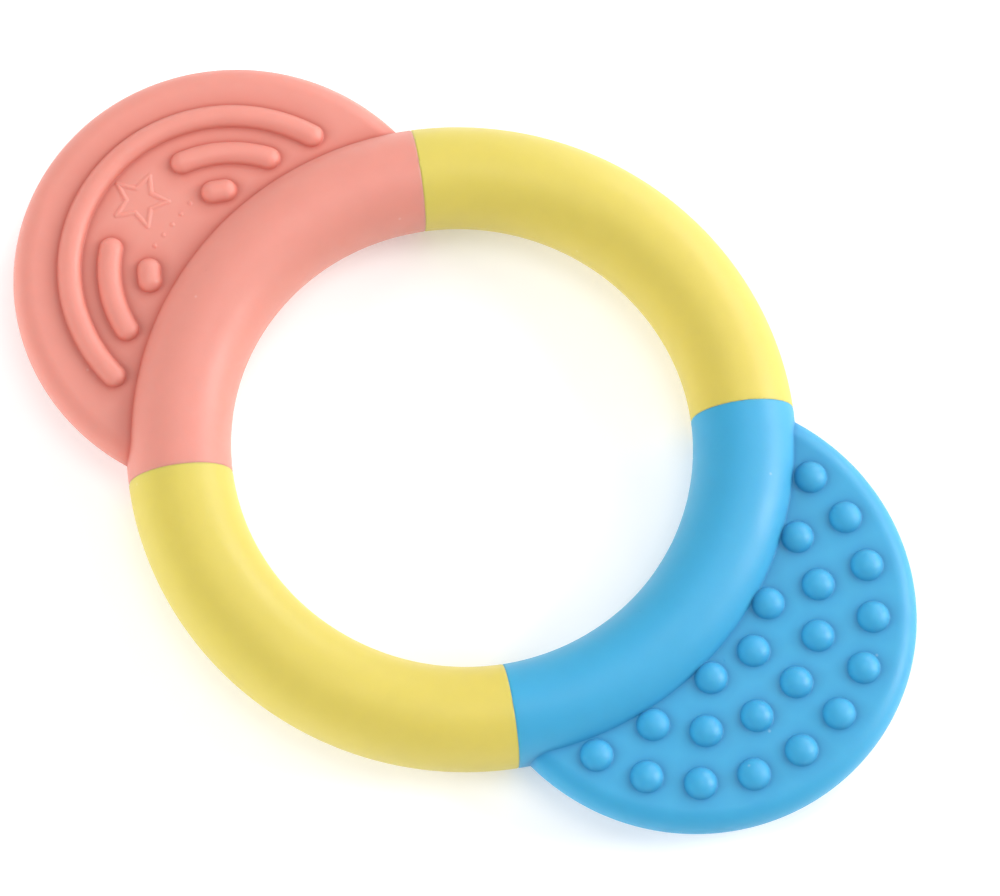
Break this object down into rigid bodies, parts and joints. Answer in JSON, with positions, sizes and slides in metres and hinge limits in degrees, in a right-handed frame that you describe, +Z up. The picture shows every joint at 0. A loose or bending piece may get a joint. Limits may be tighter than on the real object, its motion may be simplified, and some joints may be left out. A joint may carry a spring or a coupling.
{
  "type": "teething ring",
  "caption": "Flat-lying soft teething ring with two round chewing lobes on opposite sides, one with curved ridges and one with round bumps, joined by plain round grips.",
  "frame": {"origin": "on the ring's axis, in the plane of the surface the ring lies on", "axes": "+X from the ridged lobe towards the bumped lobe, +Z up along the ring's axis, +Y to the left when looking along +X"},
  "size_m": [0.1276, 0.084, 0.013],
  "materials": {
    "core_plastic": "matte moulded",
    "coral_elastomer": "satin moulded",
    "blue_elastomer": "satin moulded",
    "yellow_elastomer": "satin moulded"
  },
  "bodies": {
    "root": {"core_ring": "core_plastic", "coral_ridge_teether": "coral_elastomer", "blue_bump_teether": "blue_elastomer", "yellow_grip_left": "yellow_elastomer", "yellow_grip_right": "yellow_elastomer"}
  },
  "joints": []
}
